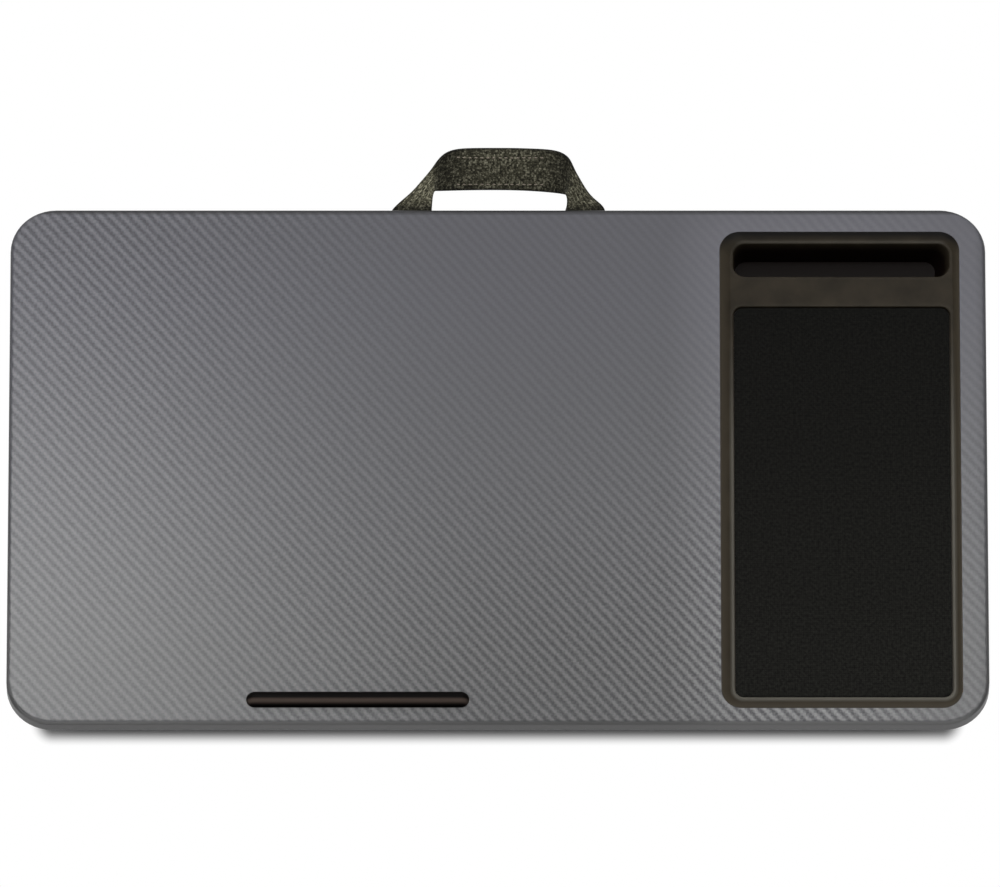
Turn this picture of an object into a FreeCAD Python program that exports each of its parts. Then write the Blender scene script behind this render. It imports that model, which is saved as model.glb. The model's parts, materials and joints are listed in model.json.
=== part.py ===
import FreeCAD
import Part
import math
import os

# A lap tray: a film-wrapped board with a moulded insert for a mouse and a phone, a ledge that
# stops a laptop from sliding, two soft bolsters below, and a fabric carrying strap at the back.
# Millimetres. X runs along the tray, Y towards its back and Z up. The origin lies on the surface
# that the bolsters rest on, at the middle of the whole footprint, strap included.

V = FreeCAD.Vector
X_AXIS = V(1, 0, 0)
UP = V(0, 0, 1)

# Board: a fibreboard core, a printed film over its top and edges, a paper liner below
BOARD_LENGTH = 536.0
BOARD_DEPTH = 305.0
BOARD_CORNER = 25.0
CORE = 9.0
FILM = 0.4
LINER = 0.3
TOP_EDGE = 2.4

# Insert: a moulded plate sunk into the board, with a mouse pad recess and a phone pocket
INSERT_LENGTH = 131.4
INSERT_CORNER = 11.0
INSERT_FROM_RIGHT = 14.6
INSERT_FROM_FRONT = 9.3
INSERT_FROM_BACK = 13.7
INSERT_WALL = 1.8
INSERT_CLEARANCE = 0.2
LIP = 0.5
SLOPE_DROP = 1.6
RIM_FLAT = 1.6
LEFT_MARGIN = 7.3
RIGHT_MARGIN = 5.2
FRONT_MARGIN = 7.0
BACK_MARGIN = 6.2
BRIDGE = 18.0
SLOT_WIDTH = 19.7
SLOT_DEPTH = 20.0
SLOT_CORNER = 6.8
SLOT_LEFT_LEAN = 1.2
SLOT_RIGHT_LEAN = 7.6
SLOT_BACK_LEAN = 2.6
SLOT_FRONT_LEAN = 0.7
SLOT_EDGE_ROUND = 1.0
PAD_EDGE_ROUND = 0.8
POCKET_CLEARANCE = 0.6

# Mouse pad: woven top on a rubber sheet, held by an adhesive film
PAD_RECESS = 2.8
PAD_CORNER = 5.0
PAD_GAP = 0.5
PAD_TAPE = 0.1
PAD_RUBBER = 1.4
PAD_CLOTH = 0.5

# Fasteners of the insert: bosses reach down through the board, and screws pull them down
BOSS_RADIUS = 3.3
BOSS_SHORT = 0.8
BOSS_HOLE_CLEARANCE = 0.2
BOSS_FROM_SIDE = 20.0
BOSS_FROM_FRONT = 31.0
BOSS_FROM_PAD_BACK = 12.0
BOSS_ROWS = 3
INSERT_SCREW_RADIUS = 1.15
INSERT_SCREW_COVER = 1.0
INSERT_SCREW_HEAD_RADIUS = 2.8
INSERT_SCREW_HEAD = 2.0
WASHER_RADIUS = 5.0
WASHER = 0.8
SCREW_FIT = 0.03
HEAD_RELIEF = 1.5

# Ledge: a round-topped bar in a routed slot, with pegs pushed into the board
LEDGE_LENGTH = 121.0
LEDGE_WIDTH = 8.6
LEDGE_RISE = 4.5
LEDGE_SEAT = 4.0
LEDGE_FROM_LEFT = 131.1
LEDGE_FROM_FRONT = 9.7
LEDGE_CLEARANCE = 0.3
LEDGE_TAPE = 0.2
LEDGE_TAPE_GAP = 0.5
PEG_RADIUS = 1.9
PEG_LENGTH = 3.5
PEG_COUNT = 3
PEG_FROM_END = 12.0
PEG_FIT = 0.05

# Cushion: a backer panel wrapped in cloth, and two filled bolsters with an air channel between
CUSHION_INSET = 10.5
BOLSTER_HEIGHT = 46.8
BOLSTER_CORNER = 24.0
BOLSTER_CORNER_TIGHTEN = 0.4
BOLSTER_DRAW_IN = 3.0
BOLSTER_END_DRAW_IN = 0.8
BOLSTER_FOOT_INSET = 34.0
BOLSTER_TURN_INSET = 19.0
BOLSTER_FLANK_INSET = 6.0
BOLSTER_SEAM_INSET = 3.5
CHANNEL = 14.0
CLOTH = 1.0
FILL_GAP = 0.3
BACKER_INSET = 12.5
BACKER_CORNER = 16.0
WRAP_GAP = 0.1
HEM_WIDTH = 15.0
HEM_CORNER = 4.0

# The side of a bolster: share of its height, and how far it stands in from its fullest outline
BOLSTER_SIDE = ((0.0, BOLSTER_FOOT_INSET), (0.1, BOLSTER_TURN_INSET), (0.34, BOLSTER_FLANK_INSET),
                (0.7, 0.0), (1.0, BOLSTER_SEAM_INSET))

# Fasteners of the cushion: screws through the backer, staples through the folded hem
SCREW_RADIUS = 1.5
SCREW_GRIP = 5.0
SCREW_HEAD_RADIUS = 4.0
SCREW_HEAD = 1.8
SCREW_HOLE_CLEARANCE = 0.2
SCREW_FROM_LEFT = 38.0
SCREW_FROM_INSERT = 10.0
SCREW_COLUMNS = 4
STAPLE_WIRE = 0.6
STAPLE_CROWN = 9.0
STAPLE_LEG = 2.2
STAPLE_PITCH = 58.0
STAPLE_FROM_EDGE = 7.0

# Carrying strap: its ends lie under the board, and its loop flexes just behind the back edge
STRAP_WIDTH = 22.0
STRAP = 3.0
STRAP_SPAN = 94.6
STRAP_TAIL = 31.0
STRAP_NOTCH_CLEARANCE = 0.5
STRAP_SEAT = 0.4
HINGE_OFFSET = 3.0
LOOP_REACH = 34.3
LOOP_SHOULDER = 33.0
LOOP_SHOULDER_ROUND = 22.0
LOOP_INNER_ROUND = 2.5
LOOP_TILT = 15.0
LOOP_END_GAP = 0.4
LOOP_END_ANGLE = 35.0
STRAP_STAPLES = 4
STRAP_STAPLE_MARGIN = 5.0
STRAP_STAPLE_LEG = 7.5

# The backer is as thick as the strap's ends and their staples need between the hem and the cloth
BACKER = STRAP + STAPLE_WIRE + STRAP_SEAT - CLOTH

# Heights of the layers, from the resting surface upwards
Z_CLOTH = BOLSTER_HEIGHT
Z_BACKER = Z_CLOTH + CLOTH
Z_HEM = Z_BACKER + BACKER
Z_LINER = Z_HEM + CLOTH
Z_CORE = Z_LINER + LINER
Z_FILM = Z_CORE + CORE
Z_TOP = Z_FILM + FILM
Z_RIM = Z_TOP - SLOPE_DROP
Z_PAD_FLOOR = Z_RIM - PAD_RECESS
Z_INSERT = Z_PAD_FLOOR - INSERT_WALL
Z_SLOT_FLOOR = Z_RIM - SLOT_DEPTH
Z_POCKET = Z_SLOT_FLOOR - INSERT_WALL
Z_LEDGE_SEAT = Z_TOP - LEDGE_SEAT

# Places in plan
LOOP_PLAN_REACH = (LOOP_REACH * math.cos(math.radians(LOOP_TILT))
                   + STRAP / 2 * math.sin(math.radians(LOOP_TILT)))
BOARD_Y = -(HINGE_OFFSET + LOOP_PLAN_REACH) / 2
BOARD_FRONT = BOARD_Y - BOARD_DEPTH / 2
BOARD_BACK = BOARD_Y + BOARD_DEPTH / 2
HINGE_Y = BOARD_BACK + HINGE_OFFSET
HINGE_Z = Z_LINER - STRAP / 2
INSERT_RIGHT = BOARD_LENGTH / 2 - INSERT_FROM_RIGHT
INSERT_LEFT = INSERT_RIGHT - INSERT_LENGTH
INSERT_FRONT = BOARD_FRONT + INSERT_FROM_FRONT
INSERT_BACK = BOARD_BACK - INSERT_FROM_BACK
SLOT_BACK = INSERT_BACK - BACK_MARGIN
SLOT_FRONT = SLOT_BACK - SLOT_WIDTH
PAD_BACK = SLOT_FRONT - BRIDGE
PAD_FRONT = INSERT_FRONT + FRONT_MARGIN
LEDGE_LEFT = -BOARD_LENGTH / 2 + LEDGE_FROM_LEFT
LEDGE_Y = BOARD_FRONT + LEDGE_FROM_FRONT + LEDGE_WIDTH / 2
CUSHION_X = BOARD_LENGTH / 2 - CUSHION_INSET
CUSHION_FRONT = BOARD_FRONT + CUSHION_INSET
CUSHION_BACK = BOARD_BACK - CUSHION_INSET

INSERT_BOX = (INSERT_LEFT, INSERT_FRONT, INSERT_RIGHT, INSERT_BACK)
PAD_BOX = (INSERT_LEFT + LEFT_MARGIN, PAD_FRONT, INSERT_RIGHT - RIGHT_MARGIN, PAD_BACK)
SLOT_BOX = (INSERT_LEFT + LEFT_MARGIN, SLOT_FRONT, INSERT_RIGHT - RIGHT_MARGIN, SLOT_BACK)
SLOT_FLOOR_BOX = (SLOT_BOX[0] + SLOT_LEFT_LEAN, SLOT_FRONT + SLOT_FRONT_LEAN,
                  SLOT_BOX[2] - SLOT_RIGHT_LEAN, SLOT_BACK - SLOT_BACK_LEAN)
BACKER_BOX = (-BOARD_LENGTH / 2 + BACKER_INSET, BOARD_FRONT + BACKER_INSET,
              BOARD_LENGTH / 2 - BACKER_INSET, BOARD_BACK - BACKER_INSET)
FRONT_BOLSTER_BOX = (-CUSHION_X, CUSHION_FRONT, CUSHION_X, BOARD_Y - CHANNEL / 2)
REAR_BOLSTER_BOX = (-CUSHION_X, BOARD_Y + CHANNEL / 2, CUSHION_X, CUSHION_BACK)

# Tools for outlines and solids


def grown(box, by):
    """A plan box moved outwards on every side, or inwards where the distance is negative."""
    return (box[0] - by, box[1] - by, box[2] + by, box[3] + by)


def corners(box):
    """The four corners of a plan box, anticlockwise."""
    x0, y0, x1, y1 = box
    return [V(x0, y0, 0), V(x1, y0, 0), V(x1, y1, 0), V(x0, y1, 0)]


def outline(points, radii, z=0.0):
    """A closed wire through the points, each corner rounded by its own radius."""
    starts, mids, ends = [], [], []
    for i, point in enumerate(points):
        back = (points[i - 1] - point).normalize()
        ahead = (points[(i + 1) % len(points)] - point).normalize()
        half = back.getAngle(ahead) / 2
        reach = radii[i] / math.tan(half)
        to_centre = (back + ahead).normalize()
        starts.append(point + back * reach)
        mids.append(point + to_centre * (radii[i] / math.sin(half) - radii[i]))
        ends.append(point + ahead * reach)
    edges = []
    for i in range(len(points)):
        if radii[i] > 0:
            edges.append(Part.Arc(starts[i], mids[i], ends[i]).toShape())
        after = starts[(i + 1) % len(points)]
        if ends[i].distanceToPoint(after) > 1e-6:
            edges.append(Part.LineSegment(ends[i], after).toShape())
    wire = Part.Wire(edges)
    wire.translate(V(0, 0, z))
    return wire


def box_outline(box, radius, z):
    """A rounded rectangle at a height."""
    return outline(corners(box), [radius] * 4, z)


def plate(box, radius, z_low, z_high):
    """A rounded rectangular plate between two heights."""
    return Part.Face(box_outline(box, radius, z_low)).extrude(UP * (z_high - z_low))


def post(x, y, radius, z_low, z_high):
    """An upright round post, or the cutter of such a hole."""
    return Part.makeCylinder(radius, z_high - z_low, V(x, y, z_low))


def without(body, cutters):
    """A body with every cutter taken out of it."""
    return body.cut(Part.makeCompound(cutters))


def joined(pieces):
    """One solid out of pieces that touch."""
    return pieces[0].fuse(pieces[1:]).removeSplitter()


def staple(x, y, z, along_x, leg, reach_up):
    """A staple whose crown lies at z, with legs that go up or down from there."""
    half = STAPLE_CROWN / 2
    low = z if reach_up else z - leg
    across = (STAPLE_CROWN, STAPLE_WIRE) if along_x else (STAPLE_WIRE, STAPLE_CROWN)
    crown_z = z if reach_up else z - STAPLE_WIRE
    pieces = [Part.makeBox(*across, STAPLE_WIRE, V(x - across[0] / 2, y - across[1] / 2, crown_z))]
    for side in (-1, 1):
        shift = side * (half - STAPLE_WIRE / 2)
        px, py = (x + shift, y) if along_x else (x, y + shift)
        corner = V(px - STAPLE_WIRE / 2, py - STAPLE_WIRE / 2, low)
        pieces.append(Part.makeBox(STAPLE_WIRE, STAPLE_WIRE, leg, corner))
    return joined(pieces)

# Places that several pieces share


def spread(first, last, count):
    """Evenly spaced places from the first to the last."""
    return [first + (last - first) * i / (count - 1) for i in range(count)]


def boss_places():
    """Where the bosses and screws of the insert stand."""
    columns = (INSERT_LEFT + BOSS_FROM_SIDE, INSERT_RIGHT - BOSS_FROM_SIDE)
    rows = spread(INSERT_FRONT + BOSS_FROM_FRONT, PAD_BACK - BOSS_FROM_PAD_BACK, BOSS_ROWS)
    return [(x, y) for x in columns for y in rows]


def screw_places():
    """Where the screws go up through the backer, along the middle of each bolster."""
    rows = [(box[1] + box[3]) / 2 for box in (FRONT_BOLSTER_BOX, REAR_BOLSTER_BOX)]
    columns = spread(-BOARD_LENGTH / 2 + SCREW_FROM_LEFT, INSERT_LEFT - SCREW_FROM_INSERT, SCREW_COLUMNS)
    return [(x, y) for y in rows for x in columns]


def peg_places():
    """Where the pegs of the ledge stand."""
    last = LEDGE_LEFT + LEDGE_LENGTH - PEG_FROM_END
    return [(x, LEDGE_Y) for x in spread(LEDGE_LEFT + PEG_FROM_END, last, PEG_COUNT)]


def strap_places():
    """The middle of each end of the strap, left and right."""
    return (-STRAP_SPAN / 2, STRAP_SPAN / 2)


def pocket(growth, z_floor):
    """The phone pocket's leaning form, from its floor up to the rim, grown on every side."""
    floor_corner = SLOT_CORNER - SLOT_FRONT_LEAN
    return Part.makeLoft([box_outline(grown(SLOT_FLOOR_BOX, growth), floor_corner + growth, z_floor),
                          box_outline(grown(SLOT_BOX, growth), SLOT_CORNER + growth, Z_RIM)], True, True)


def pocket_well(z_low, z_high):
    """The straight cut-out that lets the phone pocket through a panel."""
    growth = INSERT_WALL + POCKET_CLEARANCE
    return plate(grown(SLOT_BOX, growth), SLOT_CORNER + growth, z_low, z_high)


def pocket_dent():
    """The room that soft pieces leave around the phone pocket."""
    return pocket(INSERT_WALL + POCKET_CLEARANCE, Z_POCKET - POCKET_CLEARANCE)


def strap_room(z_low, z_high):
    """The room for both ends of the strap in what lies around them."""
    half = STRAP_WIDTH / 2 + STRAP_NOTCH_CLEARANCE
    front = BACKER_BOX[3] - STRAP_TAIL - STRAP_NOTCH_CLEARANCE
    return [Part.makeBox(2 * half, HINGE_Y - front, z_high - z_low, V(x - half, front, z_low))
            for x in strap_places()]


def ledge_slot(clearance, z_low, z_high):
    """A slot with round ends around the ledge."""
    half = LEDGE_WIDTH / 2 + clearance
    first, last = LEDGE_LEFT + LEDGE_WIDTH / 2, LEDGE_LEFT + LEDGE_LENGTH - LEDGE_WIDTH / 2
    middle = Part.makeBox(last - first, 2 * half, z_high - z_low, V(first, LEDGE_Y - half, z_low))
    return joined([middle] + [post(x, LEDGE_Y, half, z_low, z_high) for x in (first, last)])

# Board


def slab(inset, z_high):
    """The board's rounded block, with its top edge rounded over."""
    box = (-BOARD_LENGTH / 2, BOARD_FRONT, BOARD_LENGTH / 2, BOARD_BACK)
    block = plate(grown(box, -inset), BOARD_CORNER - inset, Z_CORE, z_high)
    rim = [e for e in block.Edges if all(abs(v.Z - z_high) < 1e-6 for v in e.Vertexes)]
    return block.makeFillet(TOP_EDGE - inset, rim)


def insert_opening(z_low):
    """The cut-out in the board's top that the insert drops into."""
    box = grown(INSERT_BOX, INSERT_CLEARANCE)
    return plate(box, INSERT_CORNER + INSERT_CLEARANCE, z_low, Z_TOP + FILM)


def board_core():
    """The fibreboard, routed for the insert and the ledge and drilled for what is fixed to it."""
    cutters = [insert_opening(Z_INSERT), pocket_well(Z_CORE - LINER, Z_INSERT + FILM)]
    cutters.append(ledge_slot(LEDGE_CLEARANCE, Z_LEDGE_SEAT, Z_TOP + FILM))
    for x, y in boss_places():
        cutters.append(post(x, y, BOSS_RADIUS + BOSS_HOLE_CLEARANCE, Z_CORE - LINER, Z_INSERT + FILM))
    for x, y in screw_places():
        cutters.append(post(x, y, SCREW_RADIUS + SCREW_FIT, Z_CORE - LINER, Z_CORE + SCREW_GRIP + LINER))
    for x, y in peg_places():
        depth = PEG_LENGTH + 2 * LEDGE_TAPE
        cutters.append(post(x, y, PEG_RADIUS + PEG_FIT, Z_LEDGE_SEAT - depth, Z_LEDGE_SEAT + FILM))
    return without(slab(FILM, Z_FILM), cutters)


def carbon_film():
    """The printed film that wraps the top and the edges, open over the insert and the ledge."""
    cutters = [slab(FILM, Z_FILM), insert_opening(Z_INSERT)]
    cutters.append(ledge_slot(LEDGE_CLEARANCE, Z_LEDGE_SEAT, Z_TOP + FILM))
    return without(slab(0.0, Z_TOP), cutters)


def underside_liner():
    """The paper sheet on the board's underside, with the holes that go through it."""
    box = grown((-BOARD_LENGTH / 2, BOARD_FRONT, BOARD_LENGTH / 2, BOARD_BACK), -FILM)
    sheet = plate(box, BOARD_CORNER - FILM, Z_LINER, Z_CORE)
    cutters = [pocket_well(Z_LINER - LINER, Z_CORE + LINER)]
    for x, y in boss_places():
        cutters.append(post(x, y, BOSS_RADIUS + BOSS_HOLE_CLEARANCE, Z_LINER - LINER, Z_CORE + LINER))
    for x, y in screw_places():
        cutters.append(post(x, y, SCREW_RADIUS + SCREW_HOLE_CLEARANCE, Z_LINER - LINER, Z_CORE + LINER))
    return without(sheet, cutters)

# Insert and mouse pad


def edges_at_rim(body, box):
    """The edges of a body that lie on the insert's rim, inside a plan box."""
    room = grown(box, INSERT_CLEARANCE)
    found = []
    for edge in body.Edges:
        bound = edge.BoundBox
        level = abs(bound.ZMin - Z_RIM) < 1e-4 and abs(bound.ZMax - Z_RIM) < 1e-4
        if level and bound.XMin > room[0] and bound.YMin > room[1] and bound.XMax < room[2] and bound.YMax < room[3]:
            found.append(edge)
    return found


def insert_tray():
    """The moulded insert: sloping rim, mouse pad recess, phone pocket and screw bosses."""
    block = plate(INSERT_BOX, INSERT_CORNER, Z_INSERT, Z_TOP)
    slope_foot = grown((PAD_BOX[0], PAD_FRONT, PAD_BOX[2], SLOT_BACK), RIM_FLAT)
    foot_radii = [corner + RIM_FLAT for corner in (PAD_CORNER, PAD_CORNER, SLOT_CORNER, SLOT_CORNER)]
    recess = Part.makeLoft([outline(corners(slope_foot), foot_radii, Z_RIM),
                            box_outline(grown(INSERT_BOX, -LIP), INSERT_CORNER - LIP, Z_TOP)], True, True)
    pad_room = plate(PAD_BOX, PAD_CORNER, Z_PAD_FLOOR, Z_TOP)
    bosses = [post(x, y, BOSS_RADIUS, Z_LINER + BOSS_SHORT, Z_INSERT) for x, y in boss_places()]
    body = joined([without(block, [recess, pad_room]), pocket(INSERT_WALL, Z_POCKET)] + bosses)
    pilots = [post(x, y, INSERT_SCREW_RADIUS + SCREW_FIT, Z_LINER, Z_PAD_FLOOR - INSERT_SCREW_COVER)
              for x, y in boss_places()]
    body = without(body, [pocket(0.0, Z_SLOT_FLOOR)] + pilots)
    body = body.makeFillet(PAD_EDGE_ROUND, edges_at_rim(body, PAD_BOX))
    return body.makeFillet(SLOT_EDGE_ROUND, edges_at_rim(body, SLOT_BOX))


def insert_washers():
    """A washer below each boss, against the board's underside."""
    rings = []
    for x, y in boss_places():
        disc = post(x, y, WASHER_RADIUS, Z_LINER - WASHER, Z_LINER)
        hole = post(x, y, INSERT_SCREW_RADIUS + SCREW_HOLE_CLEARANCE, Z_LINER - WASHER, Z_LINER)
        rings.append(disc.cut(hole))
    return Part.makeCompound(rings)


def insert_screws():
    """Pan-head screws that hold the insert down from below."""
    z_head = Z_LINER - WASHER
    screws = []
    for x, y in boss_places():
        head = post(x, y, INSERT_SCREW_HEAD_RADIUS, z_head - INSERT_SCREW_HEAD, z_head)
        foot = [e for e in head.Edges if abs(e.BoundBox.ZMax - head.BoundBox.ZMin) < 1e-6]
        head = head.makeFillet(INSERT_SCREW_HEAD / 2, foot)
        z_tip = Z_PAD_FLOOR - INSERT_SCREW_COVER - SCREW_FIT
        shank = post(x, y, INSERT_SCREW_RADIUS, z_head, z_tip)
        screws.append(joined([head, shank]))
    return Part.makeCompound(screws)


def pad_layer(z_low, thickness):
    """One layer of the mouse pad."""
    return plate(grown(PAD_BOX, -PAD_GAP), PAD_CORNER - PAD_GAP, z_low, z_low + thickness)

# Ledge


def device_ledge():
    """The round-topped bar and its pegs."""
    radius = LEDGE_WIDTH / 2
    z_base, z_round = Z_LEDGE_SEAT + LEDGE_TAPE, Z_TOP + LEDGE_RISE - radius
    first, last = LEDGE_LEFT + radius, LEDGE_LEFT + LEDGE_LENGTH - radius
    ends = [Part.makeSphere(radius, V(x, LEDGE_Y, z_round)) for x in (first, last)]
    crown = joined([Part.makeCylinder(radius, last - first, V(first, LEDGE_Y, z_round), X_AXIS)] + ends)
    crown = crown.common(ledge_slot(0.0, z_round, Z_TOP + LEDGE_RISE))
    pegs = [post(x, y, PEG_RADIUS, Z_LEDGE_SEAT - PEG_LENGTH, z_base) for x, y in peg_places()]
    return joined([ledge_slot(0.0, z_base, z_round), crown] + pegs)


def ledge_tape():
    """The adhesive strip between the ledge and the floor of its slot."""
    strip = ledge_slot(-LEDGE_TAPE_GAP, Z_LEDGE_SEAT, Z_LEDGE_SEAT + LEDGE_TAPE)
    holes = [post(x, y, PEG_RADIUS + PEG_FIT, Z_LEDGE_SEAT, Z_LEDGE_SEAT + LEDGE_TAPE)
             for x, y in peg_places()]
    return without(strip, holes)

# Cushion


def backer_panel():
    """The hardboard panel inside the cushion, with room for the pocket, the strap and the screws."""
    panel = plate(BACKER_BOX, BACKER_CORNER, Z_BACKER, Z_HEM)
    cutters = strap_room(Z_BACKER, Z_HEM) + [pocket_well(Z_BACKER, Z_HEM)]
    for x, y in boss_places():
        cutters.append(post(x, y, WASHER_RADIUS + HEAD_RELIEF, Z_BACKER, Z_HEM))
    for x, y in screw_places():
        cutters.append(post(x, y, SCREW_RADIUS + SCREW_HOLE_CLEARANCE, Z_BACKER, Z_HEM))
    return without(panel, cutters)


def cover_base_cloth():
    """The cloth under the backer, folded round its edge and over its top as a hem."""
    wrap = plate(grown(BACKER_BOX, CLOTH + WRAP_GAP), BACKER_CORNER + CLOTH + WRAP_GAP, Z_CLOTH, Z_LINER)
    panel_room = plate(grown(BACKER_BOX, WRAP_GAP), BACKER_CORNER + WRAP_GAP, Z_BACKER, Z_HEM)
    middle = plate(grown(BACKER_BOX, -HEM_WIDTH), HEM_CORNER, Z_HEM, Z_LINER)
    cutters = strap_room(Z_BACKER, Z_LINER)
    cutters += [panel_room, middle, pocket_dent()]
    for x, y in screw_places():
        cutters.append(post(x, y, SCREW_RADIUS + SCREW_HOLE_CLEARANCE, Z_CLOTH, Z_BACKER))
    return without(wrap, cutters)


def backer_screws():
    """Flange-head screws, driven up from inside the bolsters before these are filled."""
    screws = []
    for x, y in screw_places():
        head = post(x, y, SCREW_HEAD_RADIUS, Z_CLOTH - SCREW_HEAD, Z_CLOTH)
        shank = post(x, y, SCREW_RADIUS, Z_CLOTH, Z_CORE + SCREW_GRIP - SCREW_RADIUS)
        tip_z = Z_CORE + SCREW_GRIP - SCREW_RADIUS
        tip = Part.makeCone(SCREW_RADIUS, SCREW_RADIUS / 3, SCREW_RADIUS, V(x, y, tip_z))
        screws.append(joined([head, shank, tip]))
    return Part.makeCompound(screws)


def hem_staples():
    """Staples that hold the folded hem to the backer, clear of the strap and the pocket."""
    x0, y0, x1, y1 = grown(BACKER_BOX, -STAPLE_FROM_EDGE)
    across = int((x1 - x0 - 2 * BACKER_CORNER) / STAPLE_PITCH)
    along = int((y1 - y0 - 2 * BACKER_CORNER) / STAPLE_PITCH)
    places = []
    for i in range(across + 1):
        x = (x0 + x1) / 2 + (i - across / 2) * STAPLE_PITCH
        places.append((x, y0, True))
        clear_of_strap = all(abs(x - middle) > STRAP_WIDTH / 2 + STAPLE_CROWN for middle in strap_places())
        if clear_of_strap and x < SLOT_BOX[0] - STAPLE_CROWN:
            places.append((x, y1, True))
    for i in range(along + 1):
        y = (y0 + y1) / 2 + (i - along / 2) * STAPLE_PITCH
        places += [(x0, y, False), (x1, y, False)]
    return Part.makeCompound([staple(x, y, Z_LINER, along_x, STAPLE_LEG, False) for x, y, along_x in places])


def bolster_section(box, inset, z):
    """A bolster's outline at one height: rounded corners, and sides drawn in between them."""
    points = corners(grown(box, -inset))
    radius = BOLSTER_CORNER - inset * BOLSTER_CORNER_TIGHTEN
    edges = []
    for i in range(4):
        back = (points[i - 1] - points[i]).normalize()
        ahead = (points[(i + 1) % 4] - points[i]).normalize()
        start, end = points[i] + back * radius, points[i] + ahead * radius
        bend = points[i] + (back + ahead) * (radius * (1 - math.sqrt(0.5)))
        following = points[(i + 1) % 4] - ahead * radius
        inward = V(-ahead.y, ahead.x, 0)
        edges.append(Part.Arc(start, bend, end).toShape())
        draw_in = BOLSTER_DRAW_IN if i % 2 == 0 else BOLSTER_END_DRAW_IN
        middle = (end + following) * 0.5 + inward * draw_in
        edges.append(Part.Arc(end, middle, following).toShape())
    wire = Part.Wire(edges)
    wire.translate(V(0, 0, z))
    return wire


def bolster_form(box, inset):
    """A crowned bolster, flat where it rests and where it is sewn to the base, moved in by an inset."""
    height = BOLSTER_HEIGHT - inset
    sections = [bolster_section(box, side + inset, inset + share * height) for share, side in BOLSTER_SIDE]
    return Part.makeLoft(sections, True, False)


def bolster_cover(box):
    """The sewn cover of a bolster, open at the top where the base cloth closes it."""
    return bolster_form(box, 0.0).cut(bolster_form(box, CLOTH))


def bolster_fill(box):
    """The fill of a bolster, dimpled by the screw heads above it."""
    heads = [post(x, y, SCREW_HEAD_RADIUS + FILL_GAP, Z_CLOTH - SCREW_HEAD - FILL_GAP, Z_CLOTH)
             for x, y in screw_places()]
    return without(bolster_form(box, CLOTH + FILL_GAP), heads)


def pressed_by_pocket(body):
    """A rear bolster piece with the dent that the phone pocket presses into it."""
    return body.cut(pocket_dent())

# Carrying strap


def handle_end(x):
    """One end of the strap, flat under the board, with a round end at the flex line."""
    front = BACKER_BOX[3] - STRAP_TAIL
    flat = Part.makeBox(STRAP_WIDTH, HINGE_Y - front, STRAP, V(x - STRAP_WIDTH / 2, front, Z_LINER - STRAP))
    nose = Part.makeCylinder(STRAP / 2, STRAP_WIDTH, V(x - STRAP_WIDTH / 2, HINGE_Y, HINGE_Z), X_AXIS)
    return joined([flat, nose])


def handle_staples():
    """Staples through the strap's ends, up into the board."""
    back = BACKER_BOX[3] - STRAP_STAPLE_MARGIN
    rows = spread(back, BACKER_BOX[3] - STRAP_TAIL + STRAP_STAPLE_MARGIN, STRAP_STAPLES)
    z = Z_LINER - STRAP - STAPLE_WIRE
    return Part.makeCompound([staple(x, y, z, True, STRAP_STAPLE_LEG, True)
                              for x in strap_places() for y in rows])


def handle_loop():
    """The free loop of the strap: two legs that lean in to a straight grip."""
    outer, inner = (STRAP_SPAN + STRAP_WIDTH) / 2, (STRAP_SPAN - STRAP_WIDTH) / 2
    grip = LOOP_REACH - STRAP_WIDTH
    right = [(inner, 0.0, 0.0), (outer, 0.0, 0.0), (LOOP_SHOULDER, LOOP_REACH, LOOP_SHOULDER_ROUND)]
    left = [(-x, reach, rounding) for x, reach, rounding in reversed(right)]
    under = [(-inner, grip, LOOP_INNER_ROUND), (inner, grip, LOOP_INNER_ROUND)]
    path = right + left + under
    points = [V(x, reach, 0) for x, reach, _ in path]
    radii = [rounding for _, _, rounding in path]
    band = Part.Face(outline(points, radii, -STRAP / 2)).extrude(UP * STRAP)
    # Each leg starts as a blunt wedge, so that the loop can swing about the round ends of the strap.
    slope = math.tan(math.radians(LOOP_END_ANGLE))
    wedge = Part.Face(Part.makePolygon([V(-outer, 0, 0), V(-outer, LOOP_REACH, LOOP_REACH * slope),
                                        V(-outer, LOOP_REACH, -LOOP_REACH * slope), V(-outer, 0, 0)]))
    band = band.common(wedge.extrude(X_AXIS * 2 * outer))
    band = band.cut(Part.makeCylinder(STRAP / 2 + LOOP_END_GAP, 2 * outer, V(-outer, 0, 0), X_AXIS))
    band.rotate(V(0, 0, 0), X_AXIS, LOOP_TILT)
    band.translate(V(0, HINGE_Y, HINGE_Z))
    return band

# Assembly


def subparts():
    """Every sub-part of the tray by name."""
    z_rubber = Z_PAD_FLOOR + PAD_TAPE
    left, right = strap_places()
    return {
        "board_core": board_core(),
        "carbon_film": carbon_film(),
        "underside_liner": underside_liner(),
        "insert_tray": insert_tray(),
        "insert_washers": insert_washers(),
        "insert_screws": insert_screws(),
        "mouse_pad_tape": pad_layer(Z_PAD_FLOOR, PAD_TAPE),
        "mouse_pad_rubber": pad_layer(z_rubber, PAD_RUBBER),
        "mouse_pad_cloth": pad_layer(z_rubber + PAD_RUBBER, PAD_CLOTH),
        "device_ledge": device_ledge(),
        "ledge_tape": ledge_tape(),
        "backer_panel": backer_panel(),
        "backer_screws": backer_screws(),
        "cover_base_cloth": cover_base_cloth(),
        "hem_staples": hem_staples(),
        "front_bolster_cover": bolster_cover(FRONT_BOLSTER_BOX),
        "front_bolster_fill": bolster_fill(FRONT_BOLSTER_BOX),
        "rear_bolster_cover": pressed_by_pocket(bolster_cover(REAR_BOLSTER_BOX)),
        "rear_bolster_fill": pressed_by_pocket(bolster_fill(REAR_BOLSTER_BOX)),
        "handle_end_left": handle_end(left),
        "handle_end_right": handle_end(right),
        "handle_staples": handle_staples(),
        "handle_loop": handle_loop(),
    }


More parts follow.
